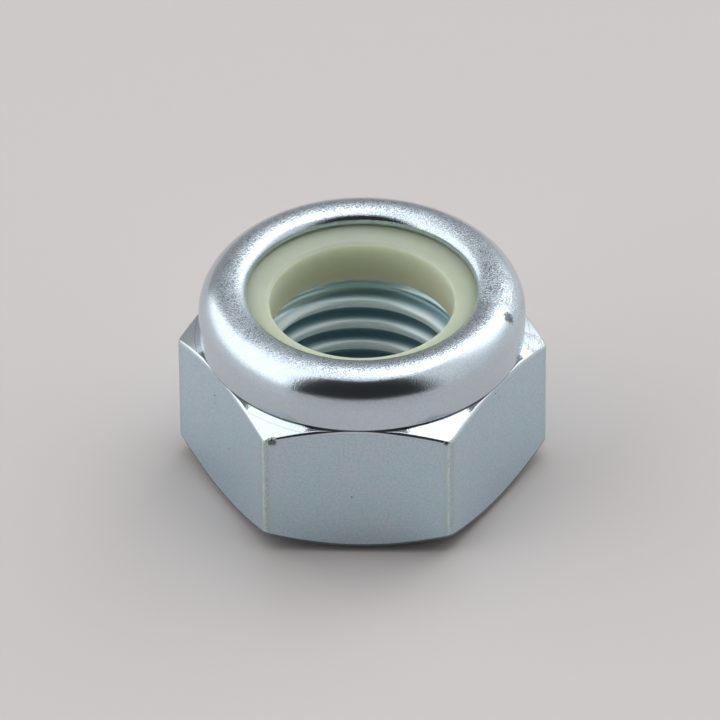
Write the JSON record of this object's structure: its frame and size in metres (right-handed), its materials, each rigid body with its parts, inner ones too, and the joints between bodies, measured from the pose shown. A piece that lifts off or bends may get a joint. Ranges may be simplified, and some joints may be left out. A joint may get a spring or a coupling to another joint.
{
  "type": "nylon insert lock nut",
  "caption": "Hexagon nut with bevelled ends, a right-hand metric thread and a nylon ring held by a rolled collar, which grips the bolt's thread so that vibration doesn't loosen it",
  "frame": {"origin": "centre of the flat bearing face, on the thread's axis", "axes": "+Z along the thread's axis from the bearing face to the rolled collar; flats face -Y and +Y, and two of the hexagon's corners lie on -X and +X"},
  "size_m": [0.0276, 0.0244, 0.016],
  "materials": {
    "zinc_plated_steel": "bright zinc plating with a faint blue tint, satin on the flats",
    "nylon": "natural nylon, pale green-grey, smooth and slightly translucent"
  },
  "bodies": {
    "root": {"nut_body": "zinc_plated_steel", "nylon_ring": "nylon"}
  },
  "joints": []
}
